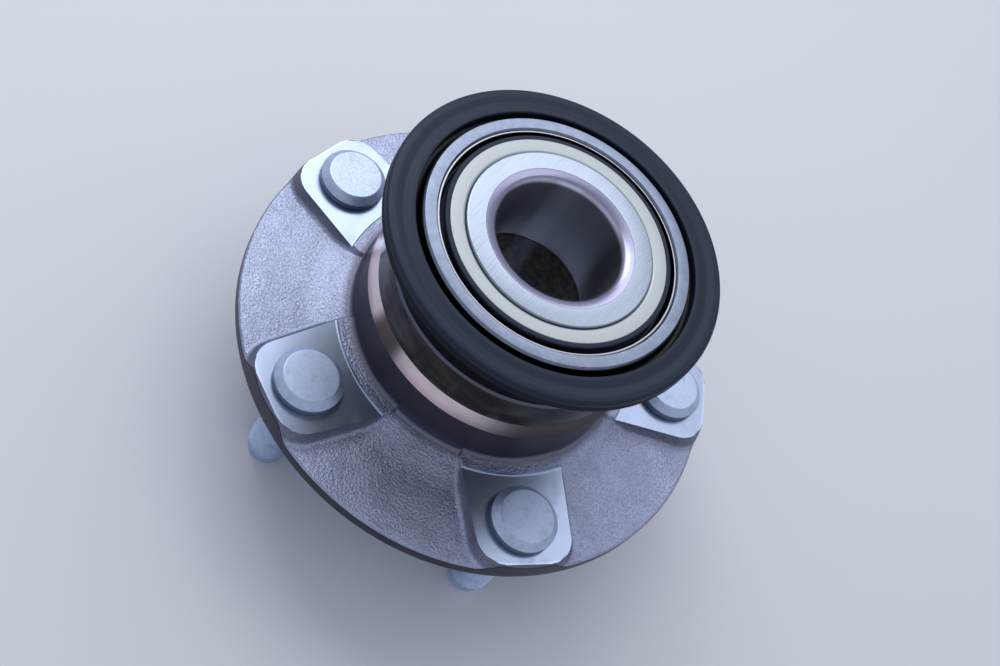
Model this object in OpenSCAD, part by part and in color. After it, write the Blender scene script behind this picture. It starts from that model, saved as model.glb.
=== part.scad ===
// Wheel hub bearing, outer-ring rotation, five studs.
// +Z runs along the spindle towards the car. Z = 0 is the face that the wheel seats on,
// and the origin is the centre of the stud circle. One stud stands on +Y.

/* [Flange] */
// Diameter of the circle through the stud centres
stud_circle_d = 114.3; // [112:0.1:116]
// Number of wheel studs
stud_count = 5; // [4:1:5]
// Outside diameter of the flange
flange_d = 139.2; // [138:0.1:141]
// Thickness of the flange at its rim, between the pads
rim_thickness = 4.7; // [4:0.1:6]
// Height of the machined seats under the stud heads, above the wheel face
seat_z = 8.6; // [8:0.1:9]
// Height of the rough land between the seats and the barrel
land_z = 9.3; // [9.1:0.1:10]
// Half width of a stud pad near the rim, at the height of the rough land
pad_half_w = 13.5; // [12:0.1:14.5]
// Distance from the axis to a pad's straight outer end, at that height
pad_end_x = 68.8; // [68:0.1:69]
// Radius of the two outer corners of a pad
pad_corner_r = 7.7; // [6:0.1:8.5]
// Angle by which a pad widens towards the barrel, each side
pad_taper = 3; // [0:0.5:4]
// Draft of the forged side walls of a pad
pad_draft = 22; // [10:1:30]

/* [Wheel pilot] */
// Diameter of the spigot that centres the wheel
pilot_d = 71.4; // [71.2:0.1:72]
// Length of the spigot in front of the wheel face
pilot_len = 9; // [7:0.5:12]
// Diameter of the seat for a pressed-in dust cap
cap_seat_d = 67.6; // [67.5:0.1:68]

/* [Barrel] */
// Diameter of the turned root of the barrel
root_d = 78.8; // [78:0.1:80]
// Diameter of the ground barrel
barrel_d = 76; // [75.6:0.1:76.6]
// Diameter of the neck that carries the encoder
neck_d = 74.6; // [74.2:0.1:75]
// Height of the barrel's inboard end face
barrel_end_z = 58.7; // [58.5:0.1:59]
// Height at which the taper above the root begins
taper_start_z = 20.8; // [18:0.1:23]
// Height at which the taper above the root ends
taper_end_z = 25.8; // [24:0.1:28]
// Height of the ledge under the encoder neck
ledge_z = 37.6; // [34:0.1:40]

/* [Wheel studs] */
// Thread diameter of a stud
stud_thread_d = 12; // [12:0.1:12]
// Diameter of the knurled shank, pressed into the flange
stud_knurl_d = 12.5; // [12.4:0.05:12.7]
// Diameter of a stud head
stud_head_d = 19; // [18:0.1:20]
// Thickness of a stud head
stud_head_h = 4.1; // [3.5:0.1:5]
// Width of the chamfer round the top of a stud head
stud_chamfer_w = 1.3; // [0.5:0.1:2]
// Height of that chamfer
stud_chamfer_h = 1.9; // [0.5:0.1:2.5]
// Reach of a stud in front of the wheel face
stud_reach = 33.5; // [28:0.5:40]
// Length of the smooth rounded nose at a stud's tip
stud_nose_h = 5; // [4.5:0.5:6]
// Pitch of the thread
stud_pitch = 1.5; // [1.25:0.25:1.5]

/* [Bearing] */
// Bore of the inner rings
bore_d = 35; // [34.5:0.1:35.5]
// Width of one inner ring
ring_w = 27; // [26.9:0.1:27.2]
// Outside diameter of the inner rings at their shoulders
shoulder_d = 52; // [51.8:0.1:52.4]
// Height of the joint between the two inner rings
joint_z = 32.2; // [32.1:0.1:32.3]
// Ball diameter
ball_d = 11.1125; // [11:0.0125:11.2]
// Balls in each row
ball_count = 13; // [11:1:13]
// Diameter of the circle through the ball centres
pitch_d = 54.8; // [54.6:0.1:55]
// Distance of each ball row from the joint
row_offset = 11.6; // [11.4:0.1:11.8]
// Contact angle of the balls
contact_angle = 38; // [35:1:40]
// Running clearance between ball and raceway
race_gap = 0.1; // [0.08:0.01:0.12]

/* [Seals and encoder] */
// Bore of the hub where a seal case is pressed in
seal_seat_d = 66.8; // [66.6:0.1:67]
// Outside diameter of the encoder ring
encoder_d = 93.6; // [92:0.1:95]
// Bore of the encoder rubber
encoder_bore_d = 78; // [77.6:0.1:78.4]
// Height of the encoder's inboard face
encoder_top_z = 58.4; // [58:0.1:59]
// Thickness of the encoder ring at its rim
encoder_h = 4.3; // [4:0.1:5]

/* [Hidden] */
$fn = 96;
STEEL = "silver";
BRIGHT = "gainsboro";
RUBBER = "dimgray";
flange_r = flange_d / 2;
stud_circle_r = stud_circle_d / 2;
pilot_r = pilot_d / 2;
cap_seat_r = cap_seat_d / 2;
root_r = root_d / 2;
barrel_r = barrel_d / 2;
neck_r = neck_d / 2;
bore_r = bore_d / 2;
shoulder_r = shoulder_d / 2;
ball_r = ball_d / 2;
pitch_r = pitch_d / 2;
seal_seat_r = seal_seat_d / 2;
ring_top_z = joint_z + ring_w;
row_z = joint_z + row_offset;
// Groove radius of both raceways, a little over the ball's
groove_r = 0.52 * ball_d;
groove_shift = groove_r - ball_r - race_gap;
// Low shoulders and the land between the rows
inner_low_r = 22.9;
outer_land_r = 29.6;
outer_relief_r = 32.75;
// Seal case seats against this step in the hub
seal_step_z = joint_z + 20.4;
seal_rim_z = joint_z + 25.9;
// Inner edge of a seal case, where its rubber is bonded on
seal_bond_r = 29.2;
sheet_t = 0.6;
slinger_r = 30.2;
slinger_top_z = joint_z + 26.5;
dust_lip_r = 31.5;
// Web between the pads: it falls from the boss round the barrel to a flat that runs out to the rim
boss_w = 2.4;
boss_z = 7.9;
boss_fillet_r = 1.4;
web_knee_r = 49;
web_knee_w = 3;
web_knee_z = 5.7;
web_edge_w = 0.8;
// Where the machined seats begin, and the radius that their cutter leaves there
seat_inner_r = 44.3;
seat_fillet_r = 0.6;
// Wheel side: rim chamfer, relief round the spigot, and the groove behind the cap seat
rim_chamfer = 1;
pilot_relief_r = 41;
pilot_relief_h = 0.6;
pilot_lead = [1.2, 2.4];
cap_groove_z = [1, 3];
cap_groove_r = 34.6;
// Small chamfers on bores and edges of the hub
edge = 0.5;
// The pads and the web stand this far past the rim before it is turned
rim_stock = 3;
pad_foot_z = rim_thickness - 2;

// Points along an arc, for a revolved outline
function arc(x, y, r, from, to, steps = 6) =
    [for (i = [0:steps]) let (a = from + (to - from) * i / steps) [x + r * cos(a), y + r * sin(a)]];

// Turns a node made for the inboard side over to the outboard side
module outboard() {
    translate([0, 0, 2 * joint_z]) mirror([0, 0, 1]) children();
}

// Circle of a raceway groove in a ring's section. side is -1 for the inner ring, 1 for the outer
module groove(side, row) {
    shift = groove_shift * side;
    translate([pitch_r - shift * cos(contact_angle),
               joint_z + row * (row_offset + shift * sin(contact_angle))])
        circle(r = groove_r);
}

// Section of the hub: pilot, flange web, barrel and the two outer raceways
module hub_section() {
    wheel_side = [
        [cap_seat_r + edge, -pilot_len], [pilot_r - pilot_lead[0], -pilot_len],
        [pilot_r, -pilot_len + pilot_lead[1]],
        [pilot_r, pilot_relief_h], [pilot_relief_r, pilot_relief_h], [pilot_relief_r + 1, 0],
        [flange_r + rim_stock, 0]];
    web = concat(
        [[flange_r + rim_stock, rim_chamfer], [flange_r - web_edge_w, rim_thickness]],
        [[web_knee_r + web_knee_w, web_knee_z - 0.3], [web_knee_r, web_knee_z],
         [web_knee_r - web_knee_w, web_knee_z + 0.7]],
        [[root_r + boss_w, boss_z]],
        arc(root_r + boss_fillet_r, boss_z + boss_fillet_r + 0.3, boss_fillet_r, 250, 180, 4));
    barrel = [
        [root_r, taper_start_z], [barrel_r, taper_end_z], [barrel_r, ledge_z - 0.4],
        [barrel_r - 0.3, ledge_z], [neck_r, ledge_z + 0.3],
        [neck_r, barrel_end_z - edge], [neck_r - edge, barrel_end_z]];
    inboard_bore = [
        [seal_seat_r + edge, barrel_end_z], [seal_seat_r, barrel_end_z - edge],
        [seal_seat_r, seal_step_z], [outer_relief_r, seal_step_z],
        [outer_relief_r, row_z], [outer_land_r, row_z]];
    outboard_bore = [
        [outer_land_r, 2 * joint_z - row_z], [outer_relief_r, 2 * joint_z - row_z],
        [outer_relief_r, 2 * joint_z - seal_step_z], [seal_seat_r, 2 * joint_z - seal_step_z],
        [seal_seat_r, cap_groove_z[1]], [cap_groove_r, cap_groove_z[1]],
        [cap_groove_r, cap_groove_z[0]], [cap_seat_r, cap_groove_z[0]],
        [cap_seat_r, -pilot_len + edge]];
    difference() {
        polygon(concat(wheel_side, web, barrel, inboard_bore, outboard_bore));
        groove(1, 1);
        groove(1, -1);
    }
}

// Stud pad along +X, up to the height of the rough land: drafted walls and two round outer corners
module pad() {
    foot = (land_z - pad_foot_z) * tan(pad_draft);
    corner_x = pad_end_x - pad_corner_r;
    heel_x = root_r - 2;
    heel_r = 1;
    widening = (corner_x - heel_x) * tan(pad_taper);
    hull() for (side = [-1, 1]) {
        translate([corner_x, side * (pad_half_w - pad_corner_r), pad_foot_z])
            cylinder(h = land_z - pad_foot_z, r1 = pad_corner_r + foot, r2 = pad_corner_r, $fn = 32);
        translate([heel_x, side * (pad_half_w - heel_r + widening), pad_foot_z])
            cylinder(h = land_z - pad_foot_z, r1 = heel_r + foot, r2 = heel_r, $fn = 32);
    }
}

// What the seat cutter takes off the pads outside the rough land
module seat_cut() {
    rotate_extrude()
        polygon(concat(
            [[flange_r + rim_stock, land_z + 1], [seat_inner_r, land_z + 1]],
            arc(seat_inner_r + seat_fillet_r, seat_z + seat_fillet_r, seat_fillet_r, 180, 270, 4),
            [[flange_r + rim_stock, seat_z]]));
}

// Turns the flange and the pads to one rim, with a chamfer on the wheel side
module rim_cut() {
    past_r = flange_r + 3 * rim_stock;
    rotate_extrude()
        polygon([[past_r, -rim_chamfer], [flange_r - 2 * rim_chamfer, -rim_chamfer],
                 [flange_r, rim_chamfer], [flange_r, land_z + 1], [past_r, land_z + 1]]);
}

module at_stud(i) {
    rotate([0, 0, 90 + 360 / stud_count * (i - 1)]) translate([stud_circle_r, 0, 0]) children();
}

module hub_flange() {
    color(STEEL) difference() {
        union() {
            rotate_extrude() hub_section();
            for (i = [1:stud_count]) rotate([0, 0, 90 + 360 / stud_count * (i - 1)]) pad();
        }
        seat_cut();
        rim_cut();
        for (i = [1:stud_count]) at_stud(i)
            translate([0, 0, -1]) cylinder(h = land_z + 2, d = stud_knurl_d);
    }
}

// Pressed-in wheel stud: chamfered head, knurled shank, plain neck, thread drawn as rings, rounded nose
module wheel_stud(i) {
    head_r = stud_head_d / 2;
    knurl_r = stud_knurl_d / 2;
    crest_r = stud_thread_d / 2;
    core_r = crest_r - 0.61 * stud_pitch;
    top_z = seat_z + stud_head_h;
    tip_z = -stud_reach;
    nose_r = 4.5;
    // The plain neck ends in a cone down to the thread's core
    neck_h = 1.5;
    turns = floor((stud_reach - stud_nose_h - neck_h) / stud_pitch);
    thread = [for (k = [0:turns - 1]) let (z = -neck_h - k * stud_pitch)
        each [[core_r, z], [crest_r, z - 0.31 * stud_pitch], [crest_r, z - 0.44 * stud_pitch],
              [core_r, z - 0.75 * stud_pitch]]];
    color(BRIGHT) at_stud(i) rotate_extrude() polygon(concat(
        [[0, top_z], [head_r - stud_chamfer_w, top_z], [head_r, top_z - stud_chamfer_h]],
        [[head_r, seat_z + edge], [head_r - edge, seat_z], [knurl_r, seat_z], [knurl_r, 0]],
        [[crest_r, 0], [crest_r, crest_r - core_r - neck_h]],
        thread,
        arc(core_r - nose_r, tip_z + nose_r, nose_r, 0, -90, 8),
        [[0, tip_z]]));
}

// Steel carrier of the encoder: sleeve on the neck, rolled over into a flange
module encoder_carrier() {
    sheet = 0.9;
    flange_z = encoder_top_z - encoder_h + 0.5;
    sleeve_z = flange_z - 10;
    bend_r = 1.4;
    color(BRIGHT) rotate_extrude() polygon(concat(
        [[neck_r, sleeve_z + 0.4], [neck_r + 0.3, sleeve_z], [neck_r + sheet, sleeve_z]],
        [[neck_r + sheet, flange_z - 0.5], [neck_r + sheet + 0.5, flange_z]],
        [[encoder_d / 2 - 0.9, flange_z], [encoder_d / 2 - 0.9, flange_z + sheet]],
        arc(neck_r + bend_r, flange_z + sheet - bend_r, bend_r, 90, 180, 5)));
}

// Magnetised rubber moulded on the carrier's flange and round its edge
module encoder_magnet() {
    outer_r = encoder_d / 2;
    inner_r = encoder_bore_d / 2;
    bottom_z = encoder_top_z - encoder_h;
    steel_top_z = bottom_z + 1.4;
    groove_at_r = 42.1;
    color(RUBBER) rotate_extrude() polygon(concat(
        [[outer_r - 0.9, bottom_z + 0.5], [outer_r - 2.4, bottom_z + 0.5], [outer_r - 2.2, bottom_z]],
        arc(outer_r - 0.7, bottom_z + 0.7, 0.7, 270, 360, 3),
        arc(outer_r - 1.5, encoder_top_z - 1.5, 1.5, 0, 80, 5),
        [[groove_at_r + 0.7, encoder_top_z], [groove_at_r + 0.2, encoder_top_z - 0.3]],
        [[groove_at_r - 0.3, encoder_top_z - 0.3], [groove_at_r - 0.7, encoder_top_z - 0.1]],
        arc(inner_r + 0.5, encoder_top_z - 0.6, 0.5, 90, 180, 3),
        [[inner_r, steel_top_z], [outer_r - 0.9, steel_top_z]]));
}

// Inner ring, inboard half: bore, rounded mouth, high shoulder and raceway
module inner_ring() {
    mouth_r = 3.3;
    color(BRIGHT) rotate_extrude() difference() {
        polygon(concat(
            [[bore_r + 0.5, joint_z], [inner_low_r - 0.3, joint_z], [inner_low_r, joint_z + 0.3]],
            [[inner_low_r, row_z], [shoulder_r, row_z]],
            [[shoulder_r, ring_top_z - 0.4], [shoulder_r - 0.4, ring_top_z]],
            arc(bore_r + mouth_r, ring_top_z - mouth_r, mouth_r, 90, 180, 8),
            [[bore_r, joint_z + 0.5]]));
        groove(-1, 1);
    }
}

// Snap cage: a ring on the seal side with posts that reach between the balls
module cage() {
    pocket_r = ball_r + 0.2;
    post_r = [pitch_r - 2, pitch_r + 2.3];
    ring_r = [pitch_r - 0.8, pitch_r + 3.4];
    post_foot_z = row_z - 3.2;
    shoulder_z = row_z + 3.6;
    ring_z = row_z + 7.8;
    slot_w = 1.2;
    slot_h = 1.6;
    color("olive") difference() {
        rotate_extrude() polygon([
            [post_r[0], post_foot_z], [post_r[1], post_foot_z], [post_r[1], shoulder_z],
            [ring_r[1], shoulder_z + ring_r[1] - post_r[1]],
            [ring_r[1], ring_z - edge], [ring_r[1] - edge, ring_z],
            [ring_r[0] + edge, ring_z], [ring_r[0], ring_z - edge],
            [ring_r[0], shoulder_z + ring_r[0] - post_r[0]], [post_r[0], shoulder_z]]);
        for (i = [1:ball_count]) at_ball(i) sphere(r = pocket_r);
        for (i = [1:ball_count]) rotate([0, 0, 360 / ball_count * (i + 0.5)])
            translate([post_r[0] - 2, -slot_w / 2, post_foot_z - 1]) cube([8, slot_w, slot_h + 1]);
    }
}

module at_ball(i) {
    rotate([0, 0, 360 / ball_count * i]) translate([pitch_r, 0, row_z]) children();
}

module ball(i) {
    color(BRIGHT) at_ball(i) sphere(r = ball_r);
}

// Pressed steel case of a seal, seated in the hub: a web against the step, and a cup with an open rim
module seal_case() {
    inner_r = seal_seat_r - sheet_t;
    bend_r = 0.8;
    web_z = seal_step_z + 0.1;
    color(BRIGHT) rotate_extrude() polygon([
        [seal_bond_r, web_z], [seal_seat_r - bend_r, web_z], [seal_seat_r, web_z + bend_r],
        [seal_seat_r, seal_rim_z - 0.2], [seal_seat_r - 0.2, seal_rim_z], [inner_r, seal_rim_z],
        [inner_r, web_z + sheet_t + edge], [inner_r - edge, web_z + sheet_t], [seal_bond_r, web_z + sheet_t]]);
}

// Rubber bonded to the case: an axial lip under the slinger's flange, and two lips on its sleeve
module seal_lip() {
    sleeve_r = shoulder_r + sheet_t + 0.12;
    web_z = seal_step_z + 0.1;
    floor_z = web_z + sheet_t;
    top_z = slinger_top_z - sheet_t - 0.15;
    lip_r = seal_bond_r + 0.4;
    body = [[seal_bond_r - 1.2, web_z], [seal_bond_r, web_z], [seal_bond_r, floor_z],
        [seal_bond_r + 2.8, floor_z], [seal_bond_r + 2.4, floor_z + 0.6]];
    axial_lip = [[lip_r + 0.4, floor_z + 1], [lip_r, floor_z + 2.2], [lip_r + 0.4, top_z - 0.7],
        [lip_r + 0.2, top_z], [lip_r - 0.1, top_z - 0.5], [lip_r - 0.7, floor_z + 2.2],
        [lip_r - 1, floor_z + 1.3]];
    sleeve_lips = [[sleeve_r + 0.9, floor_z + 1.6], [sleeve_r, floor_z + 2.4], [sleeve_r, floor_z + 2],
        [sleeve_r + 0.7, floor_z + 1], [sleeve_r + 0.9, floor_z + 0.4],
        [sleeve_r, floor_z - 0.2], [sleeve_r, floor_z - 0.5]];
    color(RUBBER) rotate_extrude() polygon(concat(body, axial_lip, sleeve_lips));
}

// Slinger pressed on the inner ring's shoulder
module slinger() {
    foot_z = seal_step_z + 0.4;
    flange_z = slinger_top_z - sheet_t;
    color("beige") rotate_extrude() polygon(concat(
        [[shoulder_r, foot_z], [shoulder_r + sheet_t, foot_z], [shoulder_r + sheet_t, flange_z]],
        [[slinger_r, flange_z], [slinger_r, slinger_top_z]],
        arc(shoulder_r + 0.7, slinger_top_z - 0.7, 0.7, 90, 180, 4)));
}

// Rubber edge moulded on the slinger's rim
module dust_lip() {
    color(RUBBER) rotate_extrude() polygon([
        [slinger_r - 1, slinger_top_z - sheet_t], [slinger_r, slinger_top_z - sheet_t],
        [slinger_r, slinger_top_z - 0.05], [dust_lip_r - 0.2, slinger_top_z - 0.05],
        [dust_lip_r, slinger_top_z - 0.25], [dust_lip_r, slinger_top_z - 1.3],
        [dust_lip_r - 0.5, slinger_top_z - 1.3], [slinger_r + 0.3, slinger_top_z - 0.9]]);
}

hub_flange();
for (i = [1:stud_count]) wheel_stud(i);
encoder_carrier();
encoder_magnet();
seal_case();  // inboard_seal_case
seal_lip();  // inboard_seal_lip
slinger();  // inboard_slinger
dust_lip();  // inboard_dust_lip
outboard() seal_case();  // outboard_seal_case
outboard() seal_lip();  // outboard_seal_lip
outboard() slinger();  // outboard_slinger
outboard() dust_lip();  // outboard_dust_lip
inner_ring();  // inner_ring_inboard
outboard() inner_ring();  // inner_ring_outboard
cage();  // cage_inboard
outboard() cage();  // cage_outboard
for (i = [1:ball_count]) ball(i);
for (i = [1:ball_count]) outboard() ball(i);
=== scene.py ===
"""Looks of a wheel hub bearing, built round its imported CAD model.

Objects are in metres. Outlines are lists of corners (radius, height, rounding) in millimetres.
+Z runs along the spindle towards the car, and Z = 0 is the face that the wheel seats on.
"""

import math
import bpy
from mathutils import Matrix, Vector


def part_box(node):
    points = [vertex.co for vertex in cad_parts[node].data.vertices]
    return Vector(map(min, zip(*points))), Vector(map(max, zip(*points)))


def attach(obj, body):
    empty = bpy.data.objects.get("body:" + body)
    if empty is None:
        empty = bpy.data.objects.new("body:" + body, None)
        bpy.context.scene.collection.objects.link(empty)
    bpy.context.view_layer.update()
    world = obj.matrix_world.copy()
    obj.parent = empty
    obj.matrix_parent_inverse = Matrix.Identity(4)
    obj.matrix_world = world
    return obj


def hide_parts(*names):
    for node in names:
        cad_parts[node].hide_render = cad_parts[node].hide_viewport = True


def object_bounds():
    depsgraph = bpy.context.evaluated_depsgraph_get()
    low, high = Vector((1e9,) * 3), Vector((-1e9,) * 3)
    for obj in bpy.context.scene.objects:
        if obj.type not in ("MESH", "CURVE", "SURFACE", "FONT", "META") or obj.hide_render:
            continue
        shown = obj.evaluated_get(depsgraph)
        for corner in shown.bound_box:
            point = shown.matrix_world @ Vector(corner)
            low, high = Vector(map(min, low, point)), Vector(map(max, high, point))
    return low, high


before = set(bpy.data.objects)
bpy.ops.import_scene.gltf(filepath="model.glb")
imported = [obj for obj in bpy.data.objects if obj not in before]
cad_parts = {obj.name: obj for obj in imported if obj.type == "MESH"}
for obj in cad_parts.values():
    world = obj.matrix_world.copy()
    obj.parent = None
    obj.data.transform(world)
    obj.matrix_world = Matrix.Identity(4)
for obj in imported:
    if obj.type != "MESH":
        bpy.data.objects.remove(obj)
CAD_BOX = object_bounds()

from types import SimpleNamespace

import bmesh
import bpy
from bpy.props import FloatProperty, FloatVectorProperty, IntProperty, PointerProperty
from bpy.types import Operator, Panel, PropertyGroup
from mathutils import Euler, Matrix, Quaternion, Vector, noise

bl_info = {
    "name": "Wheel hub bearing",
    "version": (1, 0, 0),
    "blender": (4, 5, 0),
    "location": "3D View > Sidebar > Hub bearing",
    "description": "Forged hub, studs, bearing rings, seals and encoder of a wheel hub bearing",
    "category": "Object",
}

MM = 0.001
SMOOTH_ANGLE = math.radians(32)
# Distances within which vertices merge, and within which the thread's ends are cut.
WELD, THREAD_WELD, CUT_SLACK = 0.0005 * MM, 0.002 * MM, 0.0001 * MM
# Steps of a full turn: of the plain rings, and of the encoder, whose outline the camera sees.
RING_STEPS, ENCODER_STEPS = 192, 240
# In millimetres: how near a place counts as on a line, and the height at which the rim's wall begins.
SLACK, RIM_LOW = 0.01, 1.0
# The hub's finishes in the order of its material slots.
FORGED, MACHINED, BARREL = range(3)
# Heights in mm between which the forging's skin gives way to the dark turned root.
ROOT_SKIN_LOW, ROOT_SKIN_HIGH = 8, 13.5
# The boss cone of the web: height in mm, distance from the root and fall per mm; then the slope to the rim.
CONE_Z, CONE_OUT, CONE_FALL, RIM_FALL = 7.9, 2.4, 0.34, 0.0417
# Where painted shade darkens the taper, in the gaps of its reflection: direction, half angle it covers
# fully and half angle at which it ends.
TAPER_SHADE_GAP = math.radians(233), math.radians(4), math.radians(12)
TAPER_SHADE_POOL = math.radians(337), math.radians(31), math.radians(67)
# The painted highlight that runs down the inner rings' bore, given in the same way.
BORE_HIGHLIGHT = math.radians(106), math.radians(1), math.radians(15)
# Bluish sheen of the rubber.
SHEEN = (0.62, 0.76, 1.0, 1.0)
# Radians by which each stud is turned from the one before, so that their marks differ.
STUD_TURN = 1.3
# Half the width of the floor, in metres.
FLOOR_REACH = 4.0


def reach(node):
    """Outer radius in metres of a CAD node that is round about the spindle."""
    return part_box(node)[1].x


def top(node):
    """Height of a CAD node's upper end, in millimetres."""
    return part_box(node)[1].z / MM


def bottom(node):
    """Height of a CAD node's lower end, in millimetres."""
    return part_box(node)[0].z / MM


STUD_LOW, STUD_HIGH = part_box("wheel_stud_1")
STUD_CIRCLE_R = (STUD_LOW.y + STUD_HIGH.y) / 2
STUDS = sorted(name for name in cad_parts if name.startswith("wheel_stud_"))


def length(name, default):
    """A length in metres."""
    return FloatProperty(name=name, default=default, unit="LENGTH", subtype="DISTANCE")


def colour(name, default):
    return FloatVectorProperty(name=name, default=default, size=3, min=0, max=1, subtype="COLOR")


def power(name, default):
    return FloatProperty(name=name, default=default, min=0, unit="POWER")


def in_mm(group):
    """The values of a property group, with its lengths in millimetres."""
    values = {name: getattr(group, name) for name in type(group).__annotations__}
    lengths = {name: values[name] / MM for name in values if group.bl_rna.properties[name].unit == "LENGTH"}
    return SimpleNamespace(**{**values, **lengths})


class HubSizes(PropertyGroup):
    flange_r: length("Outside radius of the flange", reach("hub_flange"))
    rim_h: length("Height of the web at the rim, between two pads", 4.7 * MM)
    seat_z: length("Height of the machined seats under the stud heads", 8.6 * MM)
    land_z: length("Height of the rough land between the seats and the barrel", 9.3 * MM)
    seat_inner_r: length("Radius at which a machined seat begins", 44.3 * MM)
    pad_half_w: length("Half width of a stud pad near the rim", 13.5 * MM)
    pad_end_x: length("Distance from the spindle to a pad's straight outer end", 68.8 * MM)
    pad_corner_r: length("Radius of the two outer corners of a pad", 7.7 * MM)
    pilot_r: length("Radius of the spigot that centres the wheel", 35.7 * MM)
    cap_seat_r: length("Radius of the bore for the dust cap", 33.8 * MM)
    seal_seat_r: length("Radius of the bores for the seals", 33.4 * MM)
    root_r: length("Radius of the turned root of the barrel", 39.4 * MM)
    barrel_r: length("Radius of the ground barrel", 38 * MM)
    neck_r: length("Radius of the neck under the encoder", 37.3 * MM)
    taper_low_z: length("Height at which the barrel's taper begins", 22.2 * MM)
    taper_high_z: length("Height at which the barrel's taper ends", 26.8 * MM)
    ledge_z: length("Height of the ledge under the encoder", 37.6 * MM)
    skin_relief: length("Height of the forging's unevenness", 0.08 * MM)


class StudSizes(PropertyGroup):
    head_r: length("Radius of a stud's head", (STUD_HIGH.x - STUD_LOW.x) / 2)
    chamfer_w: length("Width of the chamfer round a head's top", 1.95 * MM)
    chamfer_h: length("Height of the chamfer round a head's top", 2 * MM)
    knurl_r: length("Radius over the knurl pressed into the flange", 6.25 * MM)
    thread_r: length("Outer radius of the thread", 5.95 * MM)
    thread_depth: length("Depth of the thread", 0.87 * MM)
    pitch: length("Height of one turn of the thread", 1.5 * MM)
    nose_h: length("Height of the smooth nose at the tip", 5 * MM)
    nose_r: length("Rounding of the nose", 4.5 * MM)
    knurl_depth: length("Depth of the knurl", 0.25 * MM)
    knurl_teeth: IntProperty(name="Teeth of the knurl", default=48, min=12)
    thread_top: length("Distance of the thread's upper end below the wheel face", 1.4 * MM)


class BearingSizes(PropertyGroup):
    bore_r: length("Radius of the inner rings' bore", 17.5 * MM)
    mouth_r: length("Rounding between bore and end face", 3.3 * MM)
    low_r: length("Radius of the inner rings beside their joint", 22.9 * MM)
    shoulder_r: length("Radius of the inner rings at their end faces", reach("inner_ring_inboard"))
    land_r: length("Bore of the hub between the ball rows", 29.6 * MM)
    relief_r: length("Bore of the hub beside the ball rows", 32.75 * MM)
    step_z: length("Distance of the hub's seal seats from the rings' joint", 20.4 * MM)
    ball_r: length("Radius of a ball", 5.55625 * MM)
    race_gap: length("Gap between the balls and the raceways", 0.1 * MM)
    race_share: FloatProperty(name="Radius of a raceway as a share of the ball's", default=1.04, min=1)
    pitch_r: length("Radius of the circle through the ball centres", 27.4 * MM)
    row_offset: length("Distance of each ball row from the rings' joint", 11.6 * MM)
    contact_angle: FloatProperty(name="Contact angle", default=math.radians(38), subtype="ANGLE")


class SealSizes(PropertyGroup):
    sheet: length("Thickness of the seals' pressed steel", 0.6 * MM)
    slinger_r: length("Radius of the slinger's flange", reach("inboard_slinger"))
    lip_r: length("Radius of the rubber edge on the slinger", reach("inboard_dust_lip"))
    encoder_r: length("Outside radius of the encoder ring", reach("encoder_magnet"))
    encoder_bore_r: length("Bore radius of the encoder's rubber", 39 * MM)
    groove_r: length("Radius of the fine groove in the encoder's face", 42.1 * MM)
    case_bore_r: length("Radius of the hole in a seal's case", 29.2 * MM)


class Colours(PropertyGroup):
    forging: colour("Shot-blasted skin of the forging", (0.375, 0.42, 0.60))
    machined: colour("Milled and turned faces", (0.36, 0.43, 0.60))
    rim: colour("Dark turned rim of the flange", (0.05, 0.05, 0.07))
    root: colour("Dark turned root of the barrel", (0.08, 0.074, 0.09))
    taper: colour("Taper under its film of oil", (0.84, 0.70, 0.71))
    barrel: colour("Ground barrel under its film of oil", (0.095, 0.08, 0.062))
    ring: colour("Ground and honed bearing steel", (0.275, 0.32, 0.40))
    bore: colour("Honed bore of the inner rings", (0.40, 0.42, 0.50))
    ball: colour("Polished balls", (0.60, 0.61, 0.64))
    zinc: colour("Matt zinc on the studs", (0.48, 0.58, 0.80))
    slinger: colour("Coated sheet of the slingers", (0.44, 0.49, 0.52))
    sheet: colour("Bright pressed steel of the seals", (0.36, 0.37, 0.42))
    rubber: colour("Rubber of encoder and seals", (0.008, 0.012, 0.024))
    # Painted shade: the dark colour laid on the taper where it lies out of the lamps' reflection.
    oil: colour("Painted shade on the taper", (0.05, 0.042, 0.032))
    cage: colour("Glass-filled polymer of the cages", (0.33, 0.27, 0.12))
    rust: colour("Rust on the flange's rim", (0.13, 0.06, 0.04))
    taper_foot: colour("Browned foot of the taper", (0.46, 0.33, 0.30))
    tarnish: colour("Tarnish on the hub's end face", (0.19, 0.17, 0.24))
    mouth: colour("Rounded mouth of the inner rings", (0.28, 0.28, 0.42))
    mouth_edge: colour("Dark line round the mouth", (0.08, 0.08, 0.12))
    bore_oil: colour("Oil in the far inner ring's bore", (0.05, 0.045, 0.04))
    bore_rust: colour("Rust in the far inner ring's bore", (0.13, 0.12, 0.11))
    smudge: colour("Smudges on the studs", (0.22, 0.25, 0.29))
    floor: colour("Pale floor and background", (0.66, 0.69, 0.75))


class StageSettings(PropertyGroup):
    camera_place: FloatVectorProperty(name="Where the camera stands", size=3, subtype="TRANSLATION",
                                      unit="LENGTH", default=(-0.03279, -0.26428, 0.36055))
    camera_turn: FloatVectorProperty(name="How the camera is turned", size=3, subtype="EULER",
                                     default=[math.radians(a) for a in (30.45611, -22.76520, 25.54253)])
    lens: FloatProperty(name="Focal length in millimetres on a 36 mm sensor", default=56.833, min=10)
    key_power: power("Power of the lamp on the left", 1.8)
    box_power: power("Power of the oblong lamp behind the bearing", 1.1)
    side_power: power("Power of the dimmer lamp beside the oblong one", 0.5)
    fill_power: power("Power of the lamp on the right", 0.06)
    ambient: FloatProperty(name="Strength of the light from all round", default=0.6, min=0)


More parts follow.
